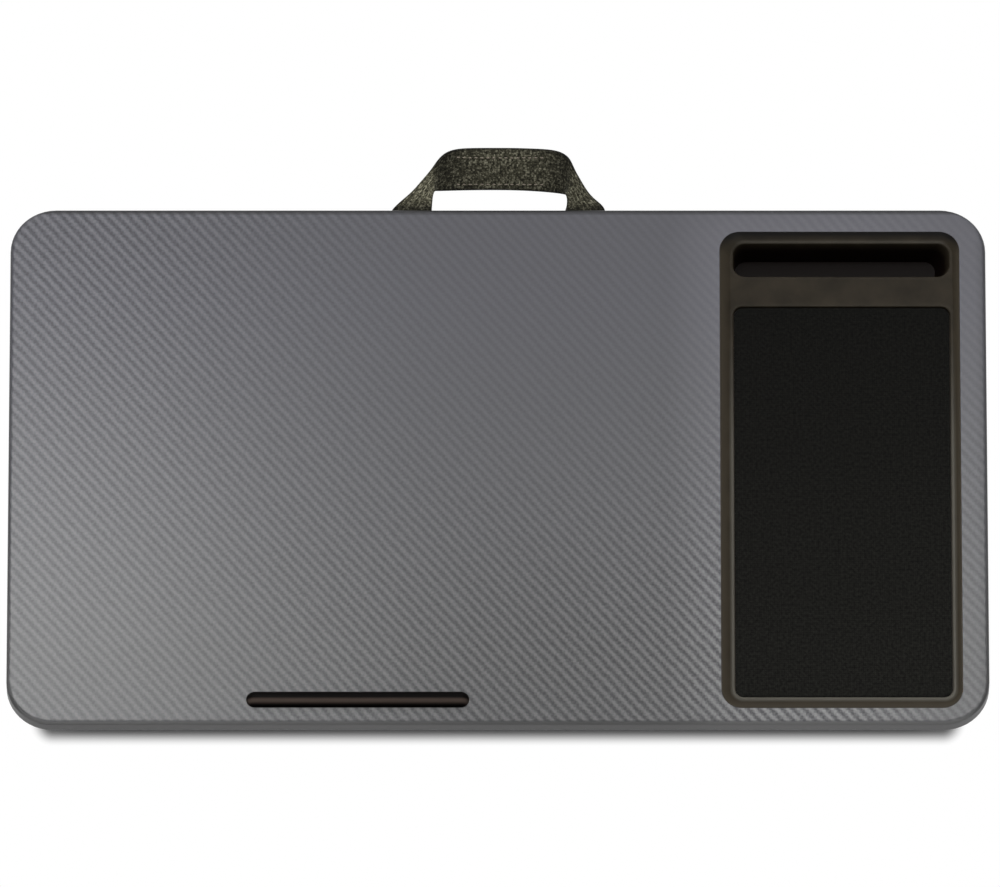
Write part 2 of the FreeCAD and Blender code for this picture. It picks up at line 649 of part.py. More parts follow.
os.makedirs("parts", exist_ok=True)
for name, shape in subparts().items():
    shape.exportStep("parts/%s.step" % name)
    print("%-22s solids %2d  volume %10.1f  valid %s" % (name, len(shape.Solids), shape.Volume, shape.isValid()))
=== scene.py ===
import json
import math

import bmesh
import bpy
import numpy as np
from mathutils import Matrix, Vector


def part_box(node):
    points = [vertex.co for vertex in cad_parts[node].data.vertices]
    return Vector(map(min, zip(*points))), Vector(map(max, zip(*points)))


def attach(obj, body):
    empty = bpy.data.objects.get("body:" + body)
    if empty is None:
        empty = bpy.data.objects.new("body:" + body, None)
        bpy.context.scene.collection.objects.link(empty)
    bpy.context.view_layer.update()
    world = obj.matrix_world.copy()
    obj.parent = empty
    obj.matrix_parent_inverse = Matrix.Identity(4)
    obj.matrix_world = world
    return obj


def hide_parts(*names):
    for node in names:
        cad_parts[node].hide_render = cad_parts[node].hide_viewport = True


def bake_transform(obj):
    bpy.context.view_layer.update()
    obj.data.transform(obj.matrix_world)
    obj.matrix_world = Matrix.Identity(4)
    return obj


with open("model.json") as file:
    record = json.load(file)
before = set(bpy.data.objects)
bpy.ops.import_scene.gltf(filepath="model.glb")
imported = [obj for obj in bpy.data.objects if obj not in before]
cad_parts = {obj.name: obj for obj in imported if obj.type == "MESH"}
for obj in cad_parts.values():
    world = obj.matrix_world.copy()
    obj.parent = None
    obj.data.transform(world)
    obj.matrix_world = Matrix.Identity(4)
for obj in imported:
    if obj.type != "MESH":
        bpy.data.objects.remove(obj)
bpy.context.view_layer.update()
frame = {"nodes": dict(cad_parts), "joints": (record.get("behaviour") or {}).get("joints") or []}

# A lap tray with a carbon-pattern board, a dark moulded insert, a soft cushion below and a cloth strap.
# Sizes are in metres; MM turns millimetres into them.
MM = 0.001
# About the height of the board's top.
BOARD_TOP = 61 * MM
# A wave texture of scale 1 repeats at this length.
WAVE = 0.314
nodes = frame["nodes"]


# Colours and shader nodes


def linear(code):
    """A hex colour in the numbers that shaders use."""
    parts = [int(code[i:i + 2], 16) / 255 for i in (0, 2, 4)]
    return [p / 12.92 if p <= 0.04045 else ((p + 0.055) / 1.055) ** 2.4 for p in parts] + [1.0]


# Inputs go by name, or by number where the names repeat. MapRange turns the range 1 to 2 into the range 3 to 4.
# Mix takes its share at 0, two values at 2 and 3 or two colours at 6 and 7, and gives a colour at output 2.


def add(tree, kind, inputs=None, **settings):
    """Adds one node with its settings, and sets or links its inputs."""
    made = tree.nodes.new("ShaderNode" + kind)
    for name, value in settings.items():
        setattr(made, name, value)
    for name, value in (inputs or {}).items():
        if isinstance(value, bpy.types.NodeSocket):
            tree.links.new(value, made.inputs[name])
        else:
            made.inputs[name].default_value = value
    return made


def new_material(name):
    """An empty material, with its tree and its output."""
    material = bpy.data.materials.new(name)
    material.use_nodes = True
    material.node_tree.nodes.clear()
    return material, material.node_tree, material.node_tree.nodes.new("ShaderNodeOutputMaterial")


def close(tree, output, surface, inputs):
    """Gives the output a Principled surface with these inputs."""
    shader = add(tree, "BsdfPrincipled", {**surface, **inputs})
    tree.links.new(shader.outputs[0], output.inputs["Surface"])


# Materials


def from_edge(tree, place, low, high, corner):
    """How far a point is, in plan, outside a rectangle with round corners; less than nothing inside it."""
    middle = (low + high) / 2
    half = (high - low) / 2 - Vector((corner, corner, 0))
    offset = add(tree, "VectorMath", {0: place, 1: middle}, operation="SUBTRACT").outputs[0]
    quarter = add(tree, "VectorMath", {0: offset}, operation="ABSOLUTE").outputs[0]
    past = add(tree, "VectorMath", {0: quarter, 1: (half.x, half.y, 1.0)}, operation="SUBTRACT").outputs[0]
    clear = add(tree, "VectorMath", {0: past, 1: (0, 0, 0)}, operation="MAXIMUM").outputs[0]
    length = add(tree, "VectorMath", {0: clear}, operation="LENGTH").outputs["Value"]
    return add(tree, "Math", {0: length, 1: corner}, operation="SUBTRACT").outputs[0]


def round_spot(tree, place, spot, reach, values, curve="LINEAR"):
    """A value that changes with the distance from a spot on the board's top, both in millimetres."""
    middle = (spot[0] * MM, spot[1] * MM, BOARD_TOP)
    away = add(tree, "VectorMath", {0: place, 1: middle}, operation="DISTANCE").outputs["Value"]
    spans = {"Value": away, 1: reach[0] * MM, 2: reach[1] * MM, 3: values[0], 4: values[1]}
    return add(tree, "MapRange", spans, interpolation_type=curve).outputs[0]


# The mouths of the insert's two recesses, from its box: lowest and highest corner, and the corner's radius.
INSERT_LOW, INSERT_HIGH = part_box("insert_tray")
INSERT_PAD = (Vector((INSERT_LOW.x + 7.3 * MM, INSERT_LOW.y + 7.0 * MM, 0)),
              Vector((INSERT_HIGH.x - 5.2 * MM, INSERT_HIGH.y - 43.9 * MM, 0)), 5.0 * MM)
INSERT_SLOT = (Vector((INSERT_LOW.x + 7.3 * MM, INSERT_HIGH.y - 25.9 * MM, 0)),
               Vector((INSERT_HIGH.x - 5.2 * MM, INSERT_HIGH.y - 6.2 * MM, 0)), 6.8 * MM)


def carbon_print_film():
    """Embossed PVC film with a carbon twill print: soft diagonal ribs of tows, satin, plain at its edge."""
    material, tree, output = new_material("carbon_print_pvc_film")
    place = add(tree, "TexCoord").outputs["Object"]
    # One rib every 6.1 mm along the tray and 7.0 mm across it; four tows to a rib.
    ribs = Vector((1 / (6.1 * MM), 1 / (7.0 * MM), 1 / (7.0 * MM)))
    tows_in_rib = 4
    smooth = add(tree, "VectorMath", {0: place, 1: ribs}, operation="DOT_PRODUCT").outputs["Value"]
    tows = add(tree, "VectorMath", {0: place, 1: ribs * tows_in_rib}, operation="MULTIPLY").outputs[0]
    tow = add(tree, "VectorMath", {0: tows}, operation="FLOOR").outputs[0]
    stepped = add(tree, "VectorMath", {0: tow, 1: (1 / tows_in_rib,) * 3},
                  operation="DOT_PRODUCT").outputs["Value"]
    lean = add(tree, "TexNoise", {"Vector": place, "Scale": 1 / (5 * MM), "Detail": 1.0})
    phase = add(tree, "Mix", {0: 0.4, 2: smooth, 3: stepped}, data_type="FLOAT").outputs[0]
    wander = add(tree, "Math", {0: lean.outputs["Fac"], 1: 0.22, 2: phase},
                 operation="MULTIPLY_ADD").outputs[0]
    wave = add(tree, "Math", {0: wander, 1: 0.5}, operation="PINGPONG").outputs[0]
    rib = add(tree, "MapRange", {"Value": wave, 1: 0.04, 2: 0.48, 3: 0.0, 4: 1.0},
              interpolation_type="SMOOTHSTEP").outputs[0]
    # A tow is a loose bundle, so every rib is blotched at about 1.3 mm.
    loose = add(tree, "TexNoise", {"Vector": place, "Scale": 1 / (1.3 * MM), "Detail": 2.0}).outputs["Fac"]
    blotch = add(tree, "MapRange", {"Value": loose, 1: 0.3, 2: 0.7}).outputs[0]
    woven = add(tree, "Mix", {0: 0.34, 2: rib, 3: blotch}, data_type="FLOAT").outputs[0]
    # Fibres are far too fine to show, so they are drawn as streaks 0.5 mm wide.
    stretch = add(tree, "Mapping", {"Vector": place, "Rotation": (0, 0, math.radians(-48.8)),
                                    "Scale": (1 / (3 * MM), 1 / (0.5 * MM), 1 / (0.5 * MM))}).outputs[0]
    fibre = add(tree, "TexNoise", {"Vector": stretch, "Scale": 1.0, "Detail": 2.0}).outputs["Fac"]
    # The ribs' contrast fades towards the middle of the back, and beside and behind the insert, and is
    # strongest left of the insert's front; in colour this is painted sheen, in relief it is the emboss.
    along, across, height = add(tree, "SeparateXYZ", {0: place}).outputs
    back_fade = round_spot(tree, place, (40, 95), (50, 270), (0.22, 1.0), "SMOOTHSTEP")
    front_gain = round_spot(tree, place, (100, -125), (30, 260), (1.55, 0.85))
    corner_fade = round_spot(tree, place, (200, 130), (60, 160), (0.4, 1.0))
    strip = add(tree, "MapRange", {"Value": along, 1: 190 * MM, 2: 250 * MM, 3: 1.0, 4: 0.4}).outputs[0]
    pressed_and_sheen = add(tree, "Math", {0: back_fade, 1: front_gain}, operation="MULTIPLY").outputs[0]
    sides = add(tree, "Math", {0: strip, 1: corner_fade}, operation="MULTIPLY").outputs[0]
    left = add(tree, "MapRange", {"Value": along, 1: -200 * MM, 2: 0.0, 3: 1.0, 4: 0.0}).outputs[0]
    lean_back = add(tree, "MapRange", {"Value": across, 1: -130 * MM, 2: 100 * MM, 3: -0.3, 4: 0.22}).outputs[0]
    left_gain = add(tree, "Math", {0: left, 1: lean_back, 2: 1.0}, operation="MULTIPLY_ADD").outputs[0]
    even_sides = add(tree, "Math", {0: sides, 1: left_gain}, operation="MULTIPLY").outputs[0]
    emboss_and_sheen = add(tree, "Math", {0: pressed_and_sheen, 1: even_sides}, operation="MULTIPLY").outputs[0]
    # Where the film is drawn over the board's edge the print is stretched out, and its darker colour there is
    # painted shade.
    top = add(tree, "MapRange", {"Value": height, 1: 60.9 * MM, 2: 61.45 * MM},
              interpolation_type="SMOOTHSTEP").outputs[0]
    rib_contrast = add(tree, "Math", {0: emboss_and_sheen, 1: top}, operation="MULTIPLY").outputs[0]
    even = add(tree, "Mix", {0: 0.15, 2: woven, 3: fibre}, data_type="FLOAT").outputs[0]
    centred = add(tree, "Math", {0: even, 1: 0.5}, operation="SUBTRACT").outputs[0]
    tone = add(tree, "Math", {0: centred, 1: rib_contrast, 2: 0.5}, operation="MULTIPLY_ADD").outputs[0]
    print_colour = add(tree, "Mix", {0: tone, 6: linear("343438"), 7: linear("727275")},
                       data_type="RGBA").outputs[2]
    # The rolled front edge is painted paler than the face below it: painted light.
    rolled = add(tree, "MapRange", {"Value": height, 1: 59.0 * MM, 2: 60.0 * MM}).outputs[0]
    front = add(tree, "MapRange", {"Value": across, 1: -160 * MM, 2: -168.4 * MM}).outputs[0]
    painted_light = add(tree, "Math", {0: rolled, 1: front}, operation="MULTIPLY").outputs[0]
    edge = add(tree, "Mix", {0: painted_light, 6: linear("434345"), 7: linear("6c6c6e")},
               data_type="RGBA").outputs[2]
    film = add(tree, "Mix", {0: top, 6: edge, 7: print_colour}, data_type="RGBA").outputs[2]
    # The film is painted paler round the insert, painted light, and darker at the front middle and along its
    # back and right edges, painted shade; it is also painted a little brighter towards the back.
    beside = from_edge(tree, place, INSERT_LOW, INSERT_HIGH, 9 * MM)
    insert_highlight = add(tree, "MapRange", {"Value": beside, 1: 0.0, 2: 30 * MM, 3: 0.34, 4: 0.0}).outputs[0]
    paler = add(tree, "Math", {0: insert_highlight, 1: strip, 2: 1.0}, operation="MULTIPLY_ADD").outputs[0]
    front_shade = round_spot(tree, place, (30, -170), (30, 120), (0.82, 1.0))
    shaded_back = add(tree, "MapRange", {"Value": across, 1: 130.4 * MM, 2: 132.4 * MM, 3: 0.0, 4: -0.8}).outputs[0]
    back_edge = add(tree, "Math", {0: shaded_back, 1: rolled, 2: 1.0}, operation="MULTIPLY_ADD").outputs[0]
    right_edge = add(tree, "MapRange", {"Value": along, 1: 262 * MM, 2: 267.5 * MM, 3: 1.0, 4: 0.72}).outputs[0]
    darker = add(tree, "Math", {0: back_edge, 1: right_edge}, operation="MULTIPLY").outputs[0]
    brighter_back = add(tree, "MapRange", {"Value": across, 1: 20 * MM, 2: 130 * MM, 3: 1.0, 4: 1.1}).outputs[0]
    painted_shading = add(tree, "Math", {0: paler, 1: front_shade}, operation="MULTIPLY").outputs[0]
    shade = add(tree, "Math", {0: brighter_back, 1: darker}, operation="MULTIPLY").outputs[0]
    level = add(tree, "Math", {0: painted_shading, 1: shade}, operation="MULTIPLY").outputs[0]
    # The film is tinted a little warmer towards the front and cooler towards the back.
    cool = add(tree, "MapRange", {"Value": across, 1: -130 * MM, 2: 80 * MM}).outputs[0]
    cast = add(tree, "Mix", {0: cool, 6: (1.0, 1.0, 0.955, 1), 7: (0.995, 0.99, 1.06, 1)},
               data_type="RGBA").outputs[2]
    printed = add(tree, "VectorMath", {0: film, 1: cast}, operation="MULTIPLY").outputs[0]
    colour = add(tree, "VectorMath", {0: printed, "Scale": level}, operation="SCALE").outputs[0]
    gloss = add(tree, "MapRange", {"Value": tone, 3: 0.44, 4: 0.36}).outputs[0]
    relief = add(tree, "Bump", {"Strength": 0.35, "Distance": 0.06 * MM, "Height": tone}).outputs[0]
    close(tree, output, {"IOR": 1.5, "Specular IOR Level": 0.3},
          {"Base Color": colour, "Roughness": gloss, "Normal": relief})
    return material


def moulded_abs():
    """ABS from a spark-eroded mould: near black, warm, finely grained, with painted highlights along its lips
    and painted shade on its back slope and in its pocket.
    """
    material, tree, output = new_material("spark_textured_abs")
    place = add(tree, "TexCoord").outputs["Object"]
    # The grain of such a tool is about 0.2 mm; it is drawn at 0.7 mm so that it shows.
    grain = add(tree, "TexNoise", {"Vector": place, "Scale": 1 / (0.7 * MM), "Detail": 3.0}).outputs["Fac"]
    cloud = add(tree, "TexNoise", {"Vector": place, "Scale": 1 / (14 * MM), "Detail": 4.0}).outputs["Fac"]
    tone = add(tree, "MapRange", {"Value": cloud, 1: 0.3, 2: 0.7}).outputs[0]
    flat = add(tree, "Mix", {0: tone, 6: linear("252018"), 7: linear("352f25")}, data_type="RGBA").outputs[2]
    # The slope up to the film is painted paler at the front and dark at the back, painted light and shade. The
    # pocket is painted dark too, painted shade.
    _, across, height = add(tree, "SeparateXYZ", {0: place}).outputs
    slope = add(tree, "MapRange", {"Value": height, 1: 60.0 * MM, 2: 61.2 * MM}).outputs[0]
    shaded_back = add(tree, "MapRange", {"Value": across, 1: 108 * MM, 2: 117 * MM}).outputs[0]
    slope_light_and_shade = add(tree, "Mix", {0: shaded_back, 6: linear("3c362c"), 7: linear("0a0806")},
                       data_type="RGBA").outputs[2]
    sloped = add(tree, "Mix", {0: slope, 6: flat, 7: slope_light_and_shade}, data_type="RGBA").outputs[2]
    sunk = add(tree, "MapRange", {"Value": height, 1: 58.6 * MM, 2: 52 * MM}).outputs[0]
    pocket = add(tree, "Mix", {0: sunk, 6: sloped, 7: linear("0e0806")}, data_type="RGBA").outputs[2]
    # The lips round the pad and the slot are painted paler over about 2 mm, most of all towards the front and
    # at the slot's back edge: a painted highlight.
    near_pad = from_edge(tree, place, INSERT_PAD[0] - Vector((0.4, 0.7, 0)) * MM,
                         INSERT_PAD[1] + Vector((0.7, 0, 0)) * MM, INSERT_PAD[2])
    near_slot = from_edge(tree, place, *INSERT_SLOT)
    nearest = add(tree, "Math", {0: near_pad, 1: near_slot}, operation="MINIMUM").outputs[0]
    lip = add(tree, "MapRange", {"Value": nearest, 1: 0.6 * MM, 2: 2.5 * MM, 3: 0.85, 4: 0.0}).outputs[0]
    risen = add(tree, "MapRange", {"Value": height, 1: 59.0 * MM, 2: 59.5 * MM}).outputs[0]
    toward_front = add(tree, "MapRange", {"Value": across, 1: -10 * MM, 2: 60 * MM, 3: 1.0, 4: 0.08}).outputs[0]
    at_slot_back = add(tree, "MapRange", {"Value": across, 1: 113.5 * MM, 2: 115.5 * MM, 3: 0.0, 4: 0.5}).outputs[0]
    highlight_reach = add(tree, "Math", {0: toward_front, 1: at_slot_back}, operation="MAXIMUM").outputs[0]
    lip_highlight = add(tree, "Math", {0: lip, 1: risen}, operation="MULTIPLY").outputs[0]
    painted_light = add(tree, "Math", {0: lip_highlight, 1: highlight_reach}, operation="MULTIPLY").outputs[0]
    colour = add(tree, "Mix", {0: painted_light, 6: pocket, 7: linear("5d5a52")}, data_type="RGBA").outputs[2]
    gloss = add(tree, "MapRange", {"Value": grain, 3: 0.30, 4: 0.42}).outputs[0]
    relief = add(tree, "Bump", {"Strength": 0.25, "Distance": 0.05 * MM, "Height": grain}).outputs[0]
    close(tree, output, {"IOR": 1.53, "Specular IOR Level": 0.06},
          {"Base Color": colour, "Roughness": gloss, "Normal": relief})
    return material


def ledge_rubber():
    """Moulded elastomer: black with a warm cast, smooth, with a painted highlight: a soft paler line along its
    round top.
    """
    material, tree, output = new_material("moulded_black_elastomer")
    place = add(tree, "TexCoord").outputs["Object"]
    smear = add(tree, "TexNoise", {"Vector": place, "Scale": 1 / (6 * MM), "Detail": 3.0}).outputs["Fac"]
    black = add(tree, "Mix", {0: smear, 6: linear("040303"), 7: linear("090706")},
                data_type="RGBA").outputs[2]
    # The painted highlight lies a little in front of the crest.
    low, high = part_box("device_ledge")
    line = (low.y + high.y) / 2 - 2.0 * MM
    across = add(tree, "SeparateXYZ", {0: place}).outputs[1]
    off_line = add(tree, "Math", {0: across, 1: line}, operation="SUBTRACT").outputs[0]
    aside = add(tree, "Math", {0: off_line}, operation="ABSOLUTE").outputs[0]
    painted_light = add(tree, "MapRange", {"Value": aside, 1: 0.2 * MM, 2: 2.0 * MM, 3: 1.0, 4: 0.0},
                 interpolation_type="SMOOTHSTEP").outputs[0]
    colour = add(tree, "Mix", {0: painted_light, 6: black, 7: linear("4d433d")}, data_type="RGBA").outputs[2]
    gloss = add(tree, "MapRange", {"Value": smear, 3: 0.28, 4: 0.40}).outputs[0]
    close(tree, output, {"IOR": 1.52, "Specular IOR Level": 0.02}, {"Base Color": colour, "Roughness": gloss})
    return material


def pad_jersey():
    """Black polyester jersey of a mouse pad: dull, with a fine knit and a few paler specks of lint."""
    material, tree, output = new_material("mouse_pad_polyester_jersey")
    place = add(tree, "TexCoord").outputs["Object"]
    # A real course of the knit is 0.4 mm; it is drawn at 1.2 mm so that it shows.
    loops = {"Vector": place, "Scale": WAVE / (1.2 * MM), "Distortion": 0.6, "Detail": 1.0}
    courses = add(tree, "TexWave", loops, bands_direction="X").outputs["Fac"]
    wales = add(tree, "TexWave", loops, bands_direction="Y").outputs["Fac"]
    knit = add(tree, "Math", {0: courses, 1: wales}, operation="MULTIPLY").outputs[0]
    lint = add(tree, "TexNoise", {"Vector": place, "Scale": 1 / (1.6 * MM), "Detail": 2.0}).outputs["Fac"]
    speck = add(tree, "MapRange", {"Value": lint, 1: 0.3, 2: 0.7}).outputs[0]
    tone = add(tree, "Mix", {0: 0.7, 2: knit, 3: speck}, data_type="FLOAT").outputs[0]
    black = add(tree, "Mix", {0: tone, 6: linear("090908"), 7: linear("20201d")}, data_type="RGBA").outputs[2]
    # The pad is paler towards the front and darker towards the back.
    across = add(tree, "SeparateXYZ", {0: place}).outputs[1]
    paler_to_front = add(tree, "MapRange", {"Value": across, 1: -154 * MM, 2: 76 * MM, 3: 1.4, 4: 0.68}).outputs[0]
    colour = add(tree, "VectorMath", {0: black, "Scale": paler_to_front}, operation="SCALE").outputs[0]
    relief = add(tree, "Bump", {"Strength": 0.5, "Distance": 0.12 * MM, "Height": tone}).outputs[0]
    close(tree, output, {"Roughness": 0.92, "IOR": 1.45, "Specular IOR Level": 0.1, "Sheen Weight": 0.04,
                         "Sheen Roughness": 0.5}, {"Base Color": colour, "Normal": relief})
    return material


def heather_cloth(name, dark, middle, light, yarn, shaded=False):
    """Plain-woven melange polyester: dark and pale yarns mixed into flecks; dull, with painted light and shade
    in its folds on the strap.
    """
    material, tree, output = new_material(name)
    lie = add(tree, "UVMap", uv_map="cloth").outputs[0]
    # The map is in metres along and across the cloth, so each yarn is one unit wide here. Real yarns are about
    # 0.5 mm; the cloths here are drawn with coarser ones so that their flecks show.
    step = add(tree, "VectorMath", {0: lie, "Scale": 1 / yarn}, operation="SCALE").outputs[0]
    warp_at, weft_at, _ = add(tree, "SeparateXYZ", {0: step}).outputs
    warp = add(tree, "Math", {0: warp_at, 1: 0.5}, operation="PINGPONG").outputs[0]
    weft = add(tree, "Math", {0: weft_at, 1: 0.5}, operation="PINGPONG").outputs[0]
    columns = add(tree, "Math", {0: warp_at}, operation="FLOOR").outputs[0]
    rows = add(tree, "Math", {0: weft_at}, operation="FLOOR").outputs[0]
    count = add(tree, "Math", {0: columns, 1: rows}, operation="ADD").outputs[0]
    over = add(tree, "Math", {0: count, 1: 2.0}, operation="FLOORED_MODULO").outputs[0]
    height = add(tree, "Mix", {0: over, 2: warp, 3: weft}, data_type="FLOAT").outputs[0]
    # Each yarn keeps its shade for about three crossings.
    long_warp = add(tree, "Mapping", {"Vector": step, "Scale": (1.0, 0.33, 1.0)}).outputs[0]
    long_weft = add(tree, "Mapping", {"Vector": step, "Scale": (0.33, 1.0, 1.0)}).outputs[0]
    warp_shade = add(tree, "TexNoise", {"Vector": long_warp, "Scale": 0.9, "Detail": 2.0}).outputs["Fac"]
    weft_shade = add(tree, "TexNoise", {"Vector": long_weft, "Scale": 0.9, "Detail": 2.0}).outputs["Fac"]
    shade = add(tree, "Mix", {0: over, 2: warp_shade, 3: weft_shade}, data_type="FLOAT").outputs[0]
    fuzz = add(tree, "TexNoise", {"Vector": step, "Scale": 0.8, "Detail": 4.0, "Roughness": 0.7}).outputs["Fac"]
    fleck = add(tree, "Mix", {0: 0.5, 2: shade, 3: fuzz}, data_type="FLOAT").outputs[0]
    ramp = add(tree, "ValToRGB", {0: fleck})
    stops = ramp.color_ramp.elements
    stops[0].position, stops[0].color = 0.41, linear(dark)
    stops[1].position, stops[1].color = 0.62, linear(light)
    stops.new(0.51).color = linear(middle)
    shadow = add(tree, "MapRange", {"Value": height, 1: 0.0, 2: 0.3, 3: 0.62, 4: 1.0}).outputs[0]
    colour = add(tree, "Mix", {0: 1.0, 6: ramp.outputs[0], 7: shadow},
                 data_type="RGBA", blend_type="MULTIPLY").outputs[2]
    # On the strap the colour is painted lighter and darker from its attribute: painted light and shade.
    if shaded:
        painted_shading = add(tree, "Attribute", attribute_name="painted_shading").outputs["Fac"]
        colour = add(tree, "VectorMath", {0: colour, "Scale": painted_shading}, operation="SCALE").outputs[0]
    loose = add(tree, "Mix", {0: 0.4, 2: height, 3: fuzz}, data_type="FLOAT").outputs[0]
    relief = add(tree, "Bump", {"Strength": 0.6, "Distance": 0.3 * yarn, "Height": loose}).outputs[0]
    close(tree, output, {"Roughness": 0.94, "IOR": 1.45, "Specular IOR Level": 0.2, "Sheen Weight": 0.15,
                         "Sheen Roughness": 0.45}, {"Base Color": colour, "Normal": relief})
    return material


def stitch_thread():
    """Spun polyester sewing thread: pale, twisted, slightly glossy."""
    material, tree, output = new_material("spun_polyester_thread")
    place = add(tree, "TexCoord").outputs["Object"]
    twist = add(tree, "TexWave", {"Vector": place, "Scale": WAVE / (0.5 * MM), "Distortion": 1.0},
                bands_direction="DIAGONAL").outputs["Fac"]
    colour = add(tree, "Mix", {0: twist, 6: linear("6f6659"), 7: linear("b3a897")},
                 data_type="RGBA").outputs[2]
    relief = add(tree, "Bump", {"Strength": 0.4, "Distance": 0.1 * MM, "Height": twist}).outputs[0]
    close(tree, output, {"Roughness": 0.7, "IOR": 1.5}, {"Base Color": colour, "Normal": relief})
    return material


def pressed_fibre(name, dark, light, fibre):
    """Pressed wood fibre: dull brown with short pale and dark fibres in every direction."""
    material, tree, output = new_material(name)
    place = add(tree, "TexCoord").outputs["Object"]
    chips = add(tree, "TexNoise", {"Vector": place, "Scale": 1 / fibre, "Detail": 5.0,
                                   "Roughness": 0.7}).outputs["Fac"]
    colour = add(tree, "Mix", {0: chips, 6: linear(dark), 7: linear(light)}, data_type="RGBA").outputs[2]
    relief = add(tree, "Bump", {"Strength": 0.3, "Distance": 0.1 * MM, "Height": chips}).outputs[0]
    close(tree, output, {"Roughness": 0.85, "IOR": 1.5}, {"Base Color": colour, "Normal": relief})
    return material


def black_liner_paper():
    """Black kraft balancing paper on the board's underside: dull, with a faint long grain."""
    material, tree, output = new_material("black_kraft_liner_paper")
    place = add(tree, "TexCoord").outputs["Object"]
    grain_size = (1 / (9 * MM), 1 / (1.2 * MM), 1 / (1.2 * MM))
    long_grain = add(tree, "Mapping", {"Vector": place, "Scale": grain_size}).outputs[0]
    grain = add(tree, "TexNoise", {"Vector": long_grain, "Scale": 1.0, "Detail": 4.0}).outputs["Fac"]
    colour = add(tree, "Mix", {0: grain, 6: linear("1a1a1a"), 7: linear("2a2a29")},
                 data_type="RGBA").outputs[2]
    relief = add(tree, "Bump", {"Strength": 0.2, "Distance": 0.05 * MM, "Height": grain}).outputs[0]
    close(tree, output, {"Roughness": 0.8, "IOR": 1.5}, {"Base Color": colour, "Normal": relief})
    return material


def zinc_plate():
    """Bright zinc plate on steel: pale grey metal, a little cloudy, with soft lights."""
    material, tree, output = new_material("zinc_plated_steel")
    place = add(tree, "TexCoord").outputs["Object"]
    cloud = add(tree, "TexNoise", {"Vector": place, "Scale": 1 / (1.5 * MM), "Detail": 3.0}).outputs["Fac"]
    colour = add(tree, "Mix", {0: cloud, 6: linear("a9a9a4"), 7: linear("c4c4c0")},
                 data_type="RGBA").outputs[2]
    gloss = add(tree, "MapRange", {"Value": cloud, 3: 0.25, 4: 0.42}).outputs[0]
    close(tree, output, {"Metallic": 1.0}, {"Base Color": colour, "Roughness": gloss})
    return material


def adhesive_film():
    """Clear double-sided film: milky, smooth, with small pale bubbles."""
    material, tree, output = new_material("acrylic_adhesive_film")
    place = add(tree, "TexCoord").outputs["Object"]
    bubbles = add(tree, "TexVoronoi", {"Vector": place, "Scale": 1 / (2.5 * MM)}).outputs["Distance"]
    colour = add(tree, "Mix", {0: bubbles, 6: linear("d9d7cd"), 7: linear("b9b7ad")},
                 data_type="RGBA").outputs[2]
    close(tree, output, {"Roughness": 0.35, "IOR": 1.48}, {"Base Color": colour})
    return material


def foam_rubber():
    """Open-cell natural rubber of a mouse pad: black, dull, finely pored."""
    material, tree, output = new_material("mouse_pad_foam_rubber")
    place = add(tree, "TexCoord").outputs["Object"]
    pores = add(tree, "TexVoronoi", {"Vector": place, "Scale": 1 / (0.9 * MM)}).outputs["Distance"]
    colour = add(tree, "Mix", {0: pores, 6: linear("0d0d0d"), 7: linear("1b1b1a")},
                 data_type="RGBA").outputs[2]
    relief = add(tree, "Bump", {"Strength": 0.5, "Distance": 0.1 * MM, "Height": pores}).outputs[0]
    close(tree, output, {"Roughness": 0.9, "IOR": 1.5}, {"Base Color": colour, "Normal": relief})
    return material


film = carbon_print_film()
abs_plastic = moulded_abs()
strap_cloth = heather_cloth("charcoal_melange_strap_cloth", "25241d", "4e4c3e", "a09d88", 1.25 * MM, shaded=True)
cushion_cloth = heather_cloth("charcoal_melange_cushion_cloth", "232324", "37373a", "6d6d70", 1.1 * MM)
thread = stitch_thread()
jersey = pad_jersey()
zinc = zinc_plate()
adhesive = adhesive_film()

FINISHES = {
    "board_core": pressed_fibre("medium_density_fibreboard", "6f5238", "a07e58", 1.2 * MM),
    "carbon_film": film,
    "underside_liner": black_liner_paper(),
    "insert_tray": abs_plastic,
    "insert_washers": zinc,
    "insert_screws": zinc,
    "mouse_pad_tape": adhesive,
    "mouse_pad_rubber": foam_rubber(),
    "device_ledge": ledge_rubber(),
    "ledge_tape": adhesive,
    "backer_panel": pressed_fibre("tempered_hardboard", "4a3320", "6b4c31", 0.8 * MM),
    "backer_screws": zinc,
    "hem_staples": zinc,
    "handle_staples": zinc,
}

for node_name, finish in FINISHES.items():
    nodes[node_name].data.materials.clear()
    nodes[node_name].data.materials.append(finish)


# Modelling tools


def begin(name, primitive, **settings):
    """Adds a primitive with nothing else selected, at its size and place, and opens it for editing."""
    bpy.ops.object.select_all(action="DESELECT")
    primitive(**settings)
    piece = bpy.context.object
    piece.name = piece.data.name = name
    bpy.ops.object.transform_apply(location=True, rotation=True, scale=True)
    bpy.ops.object.mode_set(mode="EDIT")
    return piece


def choose(piece, kind, test):
    """Selects the vertices, edges or faces that pass a test, and nothing else."""
    bpy.ops.mesh.select_mode(type=kind)
    bpy.ops.mesh.select_all(action="DESELECT")
    mesh = bmesh.from_edit_mesh(piece.data)
    mesh.normal_update()
    for part in {"VERT": mesh.verts, "EDGE": mesh.edges, "FACE": mesh.faces}[kind]:
        if test(part):
            part.select_set(True)
    mesh.select_flush_mode()
    bmesh.update_edit_mesh(piece.data)


def upright(edge):
    """Whether an edge runs up and down."""
    return abs(edge.verts[0].co.z - edge.verts[1].co.z) > 1 * MM


